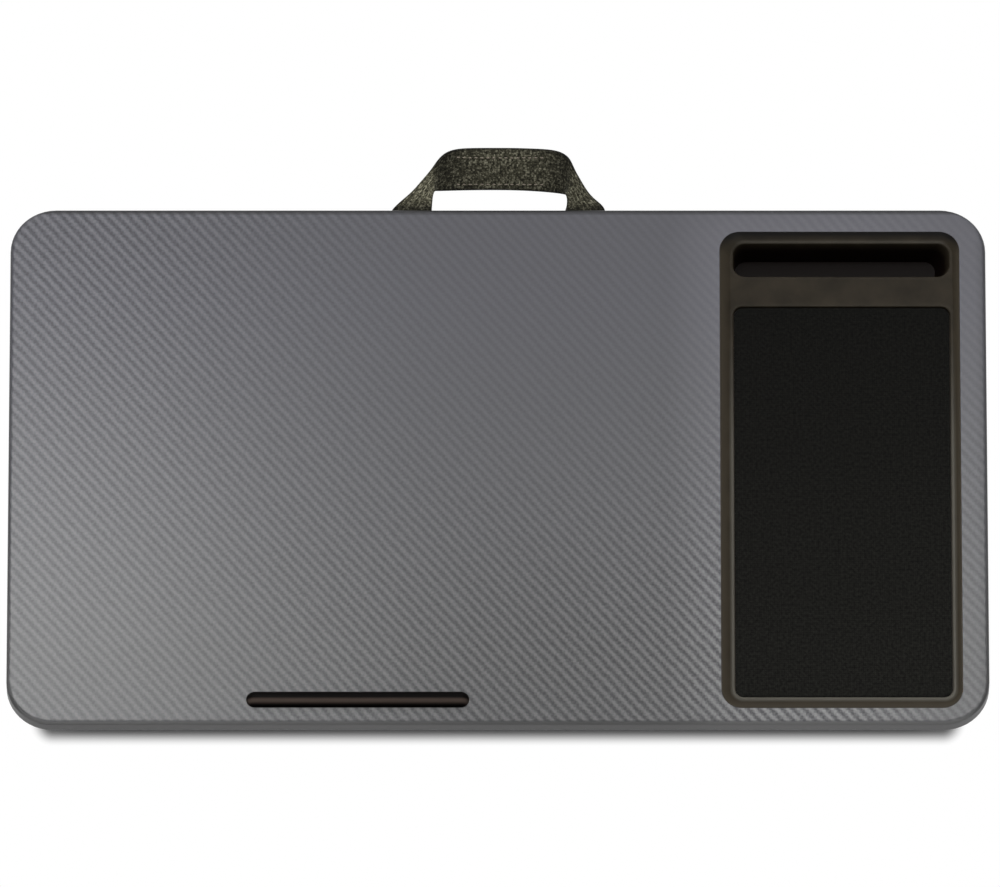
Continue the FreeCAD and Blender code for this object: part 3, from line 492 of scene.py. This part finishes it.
def round_box(name, centre, size, corner, segments, lift=0.0):
    """Begins a piece as a box with round upright edges."""
    piece = begin(name, bpy.ops.mesh.primitive_cube_add, size=1.0, location=centre)
    bpy.ops.mesh.select_all(action="SELECT")
    bpy.ops.transform.resize(value=size, center_override=centre)
    bpy.ops.transform.translate(value=(0, 0, lift))
    choose(piece, "EDGE", upright)
    bpy.ops.mesh.bevel(offset=corner, segments=segments, affect="EDGES")
    return piece


def round_plate(name, place, size, corner, segments):
    """Begins a piece as a thin flat plate with round corners, all of it selected."""
    piece = begin(name, bpy.ops.mesh.primitive_plane_add, size=1.0, location=place)
    bpy.ops.mesh.select_all(action="SELECT")
    bpy.ops.transform.resize(value=(*size, 1.0), center_override=place)
    bpy.ops.mesh.bevel(offset=corner, segments=segments, affect="VERTICES")
    bpy.ops.mesh.select_all(action="SELECT")
    return piece


def middle_of(part):
    """The middle of an edge or a face."""
    return sum((v.co for v in part.verts), Vector()) / len(part.verts)


def pick(piece):
    """Closes the edit and makes this piece the only one selected."""
    bpy.ops.object.mode_set(mode="OBJECT")
    bpy.ops.object.select_all(action="DESELECT")
    bpy.context.view_layer.objects.active = piece
    piece.select_set(True)


def modify(piece, kind, **settings):
    """Adds a modifier with its settings and applies it."""
    pick(piece)
    modifier = piece.modifiers.new(kind.lower(), kind)
    for name, value in settings.items():
        setattr(modifier, name, value)
    bpy.ops.object.modifier_apply(modifier=modifier.name)


def dress(piece, material, smooth=80):
    """Gives a piece its material, and smooth shading up to an angle in degrees."""
    pick(piece)
    bpy.ops.object.shade_smooth_by_angle(angle=math.radians(smooth))
    piece.data.materials.clear()
    piece.data.materials.append(material)


def slice_at(axis, value):
    """Cuts the open mesh along a plane square to an axis, and keeps both sides."""
    way = Vector((0, 0, 0))
    way[axis] = 1.0
    bpy.ops.mesh.select_all(action="SELECT")
    bpy.ops.mesh.bisect(plane_co=way * value, plane_no=way)


def points_of(piece):
    """The places and the normals of a mesh's points."""
    count = len(piece.data.vertices)
    places, normals = np.empty(count * 3), np.empty(count * 3)
    piece.data.vertices.foreach_get("co", places)
    piece.data.vertices.foreach_get("normal", normals)
    return places.reshape(-1, 3), normals.reshape(-1, 3)


def cloth_map(piece, along, across):
    """Lays the mesh out on its cloth, from each point's place along and across the cloth in metres."""
    mesh = piece.data
    layer = mesh.uv_layers.get("cloth") or mesh.uv_layers.new(name="cloth")
    corner = np.empty(len(mesh.loops), dtype=np.int32)
    mesh.loops.foreach_get("vertex_index", corner)
    layer.data.foreach_set("uv", np.column_stack((along, across))[corner].ravel().astype(np.float32))
    layer.active = True


# Mouse pad cloth


def mouse_pad_cloth():
    """The jersey face of the pad, rolled down a little at its cut edge."""
    low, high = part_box("mouse_pad_cloth")
    size, centre = high - low, (low + high) / 2
    piece = round_plate("mouse_pad_cloth_face", (centre.x, centre.y, high.z), size.xy, 4.5 * MM, 8)
    bpy.ops.mesh.inset(thickness=0.5 * MM)
    bpy.ops.mesh.inset(thickness=0.8 * MM)
    choose(piece, "EDGE", lambda e: e.is_boundary)
    bpy.ops.transform.translate(value=(0, 0, -0.25 * MM))
    modify(piece, "SOLIDIFY", thickness=0.24 * MM, offset=-1.0)
    dress(piece, jersey)
    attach(piece, "tray")
    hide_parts("mouse_pad_cloth")


mouse_pad_cloth()


# Carrying strap


HINGE = Vector(frame["joints"][0]["pos_m"])
LOOP_TILT = math.radians(15)
LOOP_OUT = Vector((0, math.cos(LOOP_TILT), math.sin(LOOP_TILT)))
LOOP_UP = Vector((0, -math.sin(LOOP_TILT), math.cos(LOOP_TILT)))
STRAP_WIDTH = 22 * MM
STRAP_THICK = 2.5 * MM
# The inner and the outer edge of each tail, from the tray's middle.
TAIL_INNER, TAIL_OUTER = 36.4 * MM, 58.2 * MM

# The strap's inner and outer edge, station by station: across, out from the flex line, and up from its plane.
STRAP_STATIONS = (
    ((-36.4, 0.0, 0.0), (-59.4, 0.0, 0.0)),
    ((-36.3, 2.6, -0.3), (-56.8, 3.2, -0.3)),
    ((-36.1, 5.2, -0.7), (-52.4, 7.2, -0.9)),
    ((-35.9, 7.8, -1.0), (-47.4, 11.4, -1.5)),
    ((-35.7, 10.0, -1.2), (-42.0, 17.6, -1.5)),
    ((-35.6, 11.7, -1.8), (-37.6, 22.8, -0.6)),
    ((-34.6, 12.4, -4.4), (-34.4, 27.2, 1.4)),
    ((-32.6, 12.5, -5.6), (-31.0, 31.0, 3.0)),
    ((-29.0, 12.6, -5.6), (-27.4, 33.5, 3.8)),
    ((-23.0, 12.8, -5.4), (-22.0, 34.9, 4.0)),
    ((-14.0, 13.0, -5.2), (-14.0, 35.3, 4.0)),
    ((-3.0, 13.1, -5.2), (-3.0, 35.3, 4.0)),
    ((8.0, 13.0, -5.2), (8.0, 35.3, 4.0)),
    ((18.0, 12.6, -5.2), (18.5, 35.0, 4.0)),
    ((27.0, 11.9, -5.4), (28.5, 34.5, 4.0)),
    ((32.6, 11.3, -5.6), (34.8, 33.2, 3.8)),
    ((35.8, 10.8, -5.6), (39.2, 30.2, 3.0)),
    ((37.6, 10.3, -4.4), (41.2, 26.2, 1.4)),
    ((38.2, 9.0, -1.8), (43.8, 21.2, -0.6)),
    ((38.1, 7.4, -1.2), (47.0, 15.6, -1.5)),
    ((38.0, 5.6, -1.0), (50.6, 10.0, -1.5)),
    ((37.8, 3.6, -0.7), (54.8, 6.2, -0.9)),
    ((37.3, 1.8, -0.3), (58.0, 3.6, -0.3)),
    ((36.6, 0.0, 0.0), (59.8, 0.0, 0.0)),
)
# How far the middle of a station rises or sinks: a ridge where each leg ends, a hollow where the grip begins.
STRAP_FOLDS = (0.0, 0.0, 0.0, 0.2, 0.5, 1.0, -0.4, -1.6, -1.0, 0.2, 0.9, 1.1,
               1.1, 0.9, 0.2, -1.0, -1.6, -0.4, 1.0, 0.5, 0.2, 0.0, 0.0, 0.0)
# How light the cloth is painted at a station: painted light on the legs, painted shade in the hollow beside
# each crease.
STRAP_PAINTED_SHADING = (0.3, 0.6, 1.6, 1.9, 1.9, 1.8, 0.9, 0.5, 0.55, 0.8, 1.05, 1.2,
              1.2, 1.15, 0.95, 0.6, 0.5, 0.7, 1.1, 1.2, 1.2, 1.1, 0.6, 0.3)


def strap_point(across, out, up):
    """A point of the loop, from its place in the loop's plane in millimetres."""
    return HINGE + Vector((across * MM, 0, 0)) + LOOP_OUT * (out * MM) + LOOP_UP * (up * MM)


def strap_rows():
    """Every station from tail to tail, as inner point, outer point and fold; and how light each is painted."""
    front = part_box("handle_end_left")[0].y
    tail = ([front + forward * MM for forward in (1, 15, 28)]
            + [HINGE.y - short * MM for short in (8, 4.5, 2.2)])
    loop = [(strap_point(*inner), strap_point(*outer), fold * MM)
            for (inner, outer), fold in zip(STRAP_STATIONS, STRAP_FOLDS)]
    ends = [[(Vector((side * TAIL_INNER, y, HINGE.z)), Vector((side * TAIL_OUTER, y, HINGE.z)), 0.0)
             for y in tail] for side in (-1, 1)]
    shades = (1.0,) * len(tail)
    return ends[0] + loop + ends[1][::-1], shades + STRAP_PAINTED_SHADING + shades


def carrying_strap():
    """One length of folded cloth: flat tails under the board, legs that fold into the grip, a puffed grip."""
    rows, shades = strap_rows()
    piece = begin("carrying_strap", bpy.ops.mesh.primitive_grid_add, x_subdivisions=12,
                  y_subdivisions=len(rows) - 1, size=1.0)
    bpy.ops.object.mode_set(mode="OBJECT")
    run = [0.0]
    for before, after in zip(rows, rows[1:]):
        run.append(run[-1] + ((after[0] + after[1]) / 2 - (before[0] + before[1]) / 2).length)
    spots = []
    painted_shading = piece.data.attributes.new("painted_shading", "FLOAT", "POINT")
    for vertex in piece.data.vertices:
        share = vertex.co.x + 0.5
        row = round((vertex.co.y + 0.5) * (len(rows) - 1))
        inner, outer, fold = rows[row]
        crown = 4 * share * (1 - share)
        vertex.co = inner.lerp(outer, share) + LOOP_UP * (fold * crown)
        spots.append((run[row], share * STRAP_WIDTH))
        # The cloth is painted darkest along its two edges: painted shade.
        painted_shading.data[vertex.index].value = shades[row] * min(1.0, 0.2 + crown * 2.2)
    # The grid may come out face up or face down, so its faces are turned to the top.
    piece.data.update()
    face_down = piece.data.polygons[0].normal.z < 0
    bpy.ops.object.mode_set(mode="EDIT")
    bpy.ops.mesh.select_all(action="SELECT")
    if face_down:
        bpy.ops.mesh.flip_normals()
    modify(piece, "SOLIDIFY", thickness=STRAP_THICK, offset=0.0, use_even_offset=False)
    # The cloth runs over the top, round the outer edge and back along the underside.
    face = np.array(spots)
    under = face * (1, -1) + (0, 2 * STRAP_WIDTH + STRAP_THICK)
    cloth_map(piece, *np.vstack((face, under)).T)
    modify(piece, "SUBSURF", levels=2, render_levels=2)
    dress(piece, strap_cloth)
    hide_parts("handle_loop", "handle_end_left", "handle_end_right")
    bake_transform(piece)
    return piece


# Stitches along the grip, in millimetres: the two rows from the strap's inner edge, the first stitch from the
# middle, the step from one to the next, and how far off the grip's middle plane each is dropped onto the cloth.
STITCH_ROWS = (1.8, 15.9)
STITCH_FIRST, STITCH_STEP, STITCH_COUNT = -22.0, 3.3, 15
STITCH_DROP = 4
STITCH_HALF_SIZE = Vector((1.05, 0.42, 0.32)) * MM


def stitch(strap, spot):
    """One stitch, half sunk in the cloth nearest to a spot."""
    _, near, normal, _ = strap.closest_point_on_mesh(spot)
    bpy.ops.object.select_all(action="DESELECT")
    bpy.ops.mesh.primitive_uv_sphere_add(segments=8, ring_count=5, radius=1.0)
    piece = bpy.context.object
    bpy.ops.object.mode_set(mode="EDIT")
    bpy.ops.transform.resize(value=STITCH_HALF_SIZE, center_override=(0, 0, 0))
    bpy.ops.object.mode_set(mode="OBJECT")
    piece.rotation_mode = "QUATERNION"
    piece.rotation_quaternion = normal.to_track_quat("Z", "Y")
    piece.location = near + normal * 0.08 * MM
    bpy.ops.object.transform_apply(location=True, rotation=True, scale=True)
    return piece


def strap_stitches(strap):
    """Two rows of stitches along the grip, on its face and on its back."""
    stitches = []
    # The grip is even along its length, so one station stands for all of it.
    (_, inner_out, inner_up), (_, outer_out, outer_up) = STRAP_STATIONS[10]
    for from_inner in STITCH_ROWS:
        share = from_inner * MM / STRAP_WIDTH
        out = inner_out + share * (outer_out - inner_out)
        up = inner_up + share * (outer_up - inner_up)
        for side in (1, -1):
            for i in range(STITCH_COUNT):
                spot = strap_point(STITCH_FIRST + STITCH_STEP * i, out, up + STITCH_DROP * side)
                stitches.append(stitch(strap, spot))
    pick(stitches[0])
    for piece in stitches:
        piece.select_set(True)
    bpy.ops.object.join()
    piece = bpy.context.object
    piece.name = piece.data.name = "strap_stitches"
    dress(piece, thread)
    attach(piece, "handle")


strap_stitches(carrying_strap())


# Cushion


FILL_FRAMES = 20


def inflate(piece, pinned, growth, cap):
    """Blows a cover up like a filled cushion, sewn fast where pinned; no point moves further than the cap."""
    scene = bpy.context.scene
    start = np.array([v.co for v in piece.data.vertices])
    sewn = piece.vertex_groups.new(name="sewn")
    sewn.add([v.index for v in piece.data.vertices if pinned(v.co)], 1.0, "REPLACE")
    cloth = piece.modifiers.new("inflate", "CLOTH")
    cloth.settings.vertex_group_mass = "sewn"
    cloth.settings.use_pressure = True
    cloth.settings.uniform_pressure_force = 4.0
    cloth.settings.shrink_min = -growth
    cloth.settings.quality = 6
    cloth.settings.effector_weights.gravity = 0.0
    cloth.point_cache.frame_start, cloth.point_cache.frame_end = 1, FILL_FRAMES
    for number in range(1, FILL_FRAMES + 1):
        scene.frame_set(number)
    bpy.ops.object.modifier_apply(modifier=cloth.name)
    scene.frame_set(1)
    moved = np.array([v.co for v in piece.data.vertices]) - start
    far = np.linalg.norm(moved, axis=1, keepdims=True)
    places = start + moved * np.minimum(1.0, cap / np.maximum(far, 1e-9))
    piece.data.vertices.foreach_set("co", places.ravel())
    piece.data.update()
    piece.vertex_groups.clear()


# The room below the board that the phone pocket takes, with a little clearance, and its corners' radius.
POCKET_ROOM = (Vector((INSERT_LOW.x + 3.6 * MM, INSERT_HIGH.y - 28.7 * MM, INSERT_LOW.z - 0.8 * MM)),
               Vector((INSERT_HIGH.x - 2.6 * MM, INSERT_HIGH.y - 3.2 * MM, INSERT_HIGH.z)))
POCKET_CORNER = 9 * MM


def push_clear(places, sides, low, high, gap):
    """Moves the sides of a cover out, in plan, until they clear a box with round corners by the gap."""
    middle = np.array((low + high).xy) / 2
    half = np.array((high - low).xy) / 2 - POCKET_CORNER
    offset = places[:, :2] - middle
    past = np.maximum(np.abs(offset) - half, 0)
    far = np.maximum(np.linalg.norm(past, axis=1), 1e-9)
    near_top = np.clip((places[:, 2] - low.z + 10 * MM) / (8 * MM), 0, 1)
    short = np.maximum(POCKET_CORNER + gap - far, 0) * near_top * sides
    places[:, :2] += np.sign(offset) * past * (short / far)[:, None]


def cut_room(piece, low, high):
    """Cuts a clean hollow out of a piece, open at its top."""
    cutter = round_box("hollow", (low + high) / 2, high - low, POCKET_CORNER, 4)
    modify(piece, "BOOLEAN", operation="DIFFERENCE", object=cutter, solver="EXACT")
    bpy.data.objects.remove(cutter)


# The bolsters' round edges, the room they start with below, the seam across each end, and its depth and width.
BOLSTER_EDGE = 17 * MM
BOLSTER_LIFT = 3 * MM
SEAM_FROM_END, SEAM_DEPTH, SEAM_WIDTH = 34 * MM, 1.6 * MM, 2.6 * MM


def bolster(name, cover, fill, hollow=None):
    """A filled bolster: sewn flat to the base, full at its sides, flat where it rests, seamed at its ends."""
    low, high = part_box(cover)
    centre, size = (low + high) / 2, high - low
    start = Vector((size.x - 8 * MM, size.y - 8 * MM, size.z - BOLSTER_LIFT))
    piece = round_box(name, centre, start, BOLSTER_EDGE, 6, BOLSTER_LIFT / 2)
    floor = low.z + BOLSTER_LIFT
    choose(piece, "EDGE", lambda e: all(abs(v.co.z - floor) < 0.1 * MM for v in e.verts))
    bpy.ops.mesh.bevel(offset=BOLSTER_EDGE, segments=5, affect="EDGES")
    bpy.ops.object.mode_set(mode="OBJECT")
    piece.data.remesh_voxel_size = 5 * MM
    bpy.ops.object.voxel_remesh()
    inflate(piece, lambda co: co.z > high.z - 6 * MM, growth=0.005, cap=9 * MM)
    modify(piece, "SMOOTH", factor=0.5, iterations=5)
    modify(piece, "SUBSURF", levels=1, render_levels=1)
    places, normals = points_of(piece)
    from_seam = np.abs(np.abs(places[:, 0] - centre.x) - (size.x / 2 - SEAM_FROM_END))
    sunk = SEAM_DEPTH * np.exp(-(from_seam / SEAM_WIDTH) ** 2) * (places[:, 2] < high.z - 3 * MM)
    places -= normals * sunk[:, None]
    places[:, 2] = np.clip(places[:, 2], low.z, high.z - 0.1 * MM)
    if hollow:
        push_clear(places, np.abs(normals[:, 2]) < 0.75, *hollow, gap=1.6 * MM)
    piece.data.vertices.foreach_set("co", places.ravel())
    piece.data.update()
    if hollow:
        cut_room(piece, *hollow)

    # The cloth lies flat below and is turned up over the sides and ends.
    places, normals = points_of(piece)
    wall = np.sign(normals[:, :2]) * np.clip((np.abs(normals[:, :2]) - 0.4) / 0.6, 0, 1)
    laid = places[:, :2] + wall * (places[:, 2:] - centre.z)
    cloth_map(piece, laid[:, 0], laid[:, 1])
    dress(piece, cushion_cloth)
    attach(piece, "tray")
    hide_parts(cover, fill)


def bolster_welt(name, cover):
    """The corded welt in the seam between a bolster and the base."""
    low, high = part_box(cover)
    centre, size = (low + high) / 2, high - low
    place = (centre.x, centre.y, high.z - 1.9 * MM)
    round_plate(name, place, (size.x - 7 * MM, size.y - 7 * MM), 21 * MM, 12)
    bpy.ops.mesh.delete(type="ONLY_FACE")
    bpy.ops.object.mode_set(mode="OBJECT")
    bpy.ops.object.convert(target="CURVE")
    cord = bpy.context.object.data
    cord.bevel_depth, cord.bevel_resolution = 1.8 * MM, 3
    bpy.ops.object.convert(target="MESH")
    piece = bpy.context.object
    places, normals = points_of(piece)
    cloth_map(piece, places[:, 0] + places[:, 1], places[:, 2] + np.abs(normals[:, 2]) * MM)
    dress(piece, cushion_cloth)
    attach(piece, "tray")


HEM = 15 * MM


def base_wrap():
    """The cloth under the backer panel, folded up and hemmed over its top, with room for strap and pocket."""
    low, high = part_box("cover_base_cloth")
    half_cloth = 0.5 * MM
    centre, size = (low + high) / 2, high - low - Vector((2, 2, 2)) * half_cloth
    piece = round_box("cushion_base_wrap", centre, size, 16.6 * MM, 8)
    choose(piece, "FACE", lambda f: f.normal.z > 0.9)
    bpy.ops.mesh.inset(thickness=HEM)
    bpy.ops.mesh.delete(type="FACE")
    # Room for the strap's tails: the hem and the wall are open there.
    tail_room = 0.8 * MM
    inner, outer = TAIL_INNER - tail_room, TAIL_OUTER + tail_room
    for x in (-outer, -inner, inner, outer):
        slice_at(0, x)
    choose(piece, "FACE", lambda f: inner < abs(middle_of(f).x) < outer and middle_of(f).y > 0
           and middle_of(f).z > low.z + 1.5 * MM)
    bpy.ops.mesh.delete(type="FACE")
    # Room for the phone pocket: an opening through the sheet.
    pocket_low, pocket_high = POCKET_ROOM
    for axis in (0, 1):
        slice_at(axis, pocket_low[axis])
        slice_at(axis, pocket_high[axis])
    choose(piece, "FACE", lambda f: pocket_low.x < middle_of(f).x < pocket_high.x
           and pocket_low.y < middle_of(f).y < pocket_high.y)
    bpy.ops.mesh.delete(type="FACE")
    bpy.ops.mesh.select_all(action="SELECT")
    bpy.ops.mesh.remove_doubles(threshold=0.01 * MM)
    modify(piece, "SOLIDIFY", thickness=0.9 * MM, offset=0.0)
    modify(piece, "BEVEL", width=0.35 * MM, segments=2, limit_method="ANGLE", angle_limit=math.radians(40))
    places, normals = points_of(piece)
    laid = places[:, :2] + places[:, 2:] * np.abs(normals[:, :2])
    cloth_map(piece, laid[:, 0], laid[:, 1])
    dress(piece, cushion_cloth, 40)
    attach(piece, "tray")
    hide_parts("cover_base_cloth")


bolster("front_bolster", "front_bolster_cover", "front_bolster_fill")
bolster("rear_bolster", "rear_bolster_cover", "rear_bolster_fill", POCKET_ROOM)
bolster_welt("front_bolster_welt", "front_bolster_cover")
bolster_welt("rear_bolster_welt", "rear_bolster_cover")
base_wrap()


# Camera, light and floor


def seen_directly(tree):
    """1 for what the lens sees, straight, mirrored or through something clear; 0 for light on other things."""
    path = add(tree, "LightPath").outputs
    seen = add(tree, "Math", {0: path["Is Camera Ray"], 1: path["Is Glossy Ray"]},
               operation="MAXIMUM").outputs[0]
    return add(tree, "Math", {0: seen, 1: path["Is Transmission Ray"]}, operation="MAXIMUM").outputs[0]


def studio():
    """A long lens at the photograph's angle, soft light from above and behind, a pale floor."""
    scene = bpy.context.scene
    scene.view_settings.view_transform = "Standard"
    low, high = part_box("carbon_film")
    target = Vector(((low.x + high.x) / 2, (low.y + high.y) / 2, high.z))
    elevation, distance = math.radians(67.34), 11.329
    aside, above = 1.15 * MM, 11.77 * MM
    back = Vector((0, -math.cos(elevation), math.sin(elevation)))
    up = Vector((0, math.sin(elevation), math.cos(elevation)))
    aim = target + Vector((aside, 0, 0)) + up * above
    lens = bpy.data.cameras.new("camera")
    lens.lens, lens.sensor_width, lens.clip_end = 745.0, 36.0, 100.0
    camera = bpy.data.objects.new("camera", lens)
    camera.location = aim + back * distance
    camera.rotation_euler = (math.pi / 2 - elevation, 0, 0)
    scene.collection.objects.link(camera)
    scene.camera = camera

    def softbox(name, place, towards, size, power, beam=180):
        """A soft lamp of a size, in metres, that looks towards a place; its beam is in degrees."""
        light = bpy.data.lights.new(name, "AREA")
        light.spread = math.radians(beam)
        light.shape, light.size, light.size_y, light.energy = "RECTANGLE", size[0], size[1], power
        lamp = bpy.data.objects.new(name, light)
        lamp.location = place
        lamp.rotation_euler = (Vector(towards) - Vector(place)).to_track_quat("-Z", "Y").to_euler()
        scene.collection.objects.link(lamp)

    softbox("back_key", (-0.2, 1.9, 1.9), (0, 0, 0.03), (1.8, 1.0), 13.0)
    softbox("overhead_fill", (0.1, 0.1, 1.9), (0, 0, 0.03), (1.2, 0.8), 10.2)
    softbox("left_gloss", (-0.36, 0.22, 0.92), (-0.31, -0.13, 0.06), (0.30, 0.26), 0.36, 45)
    softbox("right_gloss", (0.34, 0.20, 0.92), (0.32, -0.14, 0.06), (0.34, 0.22), 0.22, 50)

    world = bpy.data.worlds.new("studio")
    scene.world = world
    world.use_nodes = True
    tree = world.node_tree
    tree.nodes.clear()
    strength = add(tree, "MapRange", {"Value": seen_directly(tree), 3: 0.22, 4: 1.0}).outputs[0]
    sky = add(tree, "Background", {"Color": (1, 1, 1, 1), "Strength": strength})
    end = tree.nodes.new("ShaderNodeOutputWorld")
    tree.links.new(sky.outputs[0], end.inputs["Surface"])

    bpy.ops.object.select_all(action="DESELECT")
    bpy.ops.mesh.primitive_plane_add(size=14.0, location=(0, 0, -0.0005))
    floor = bpy.context.object
    floor.name = "floor"
    material, tree, output = new_material("white_studio_floor")
    paint = add(tree, "BsdfDiffuse", {"Color": linear("ffffff")})
    glow = add(tree, "Emission", {"Color": (1, 1, 1, 1), "Strength": 1.0})
    # The tray's shadow stays near it; further out the floor is plain white.
    outside = from_edge(tree, add(tree, "TexCoord").outputs["Object"], low, high, 25 * MM)
    white = add(tree, "MapRange", {"Value": outside, 1: -21 * MM, 2: -11 * MM},
                interpolation_type="SMOOTHSTEP").outputs[0]
    share = add(tree, "Math", {0: seen_directly(tree), 1: white}, operation="MULTIPLY").outputs[0]
    mix = add(tree, "MixShader", {0: share, 1: paint.outputs[0], 2: glow.outputs[0]})
    tree.links.new(mix.outputs[0], output.inputs["Surface"])
    floor.data.materials.append(material)


studio()
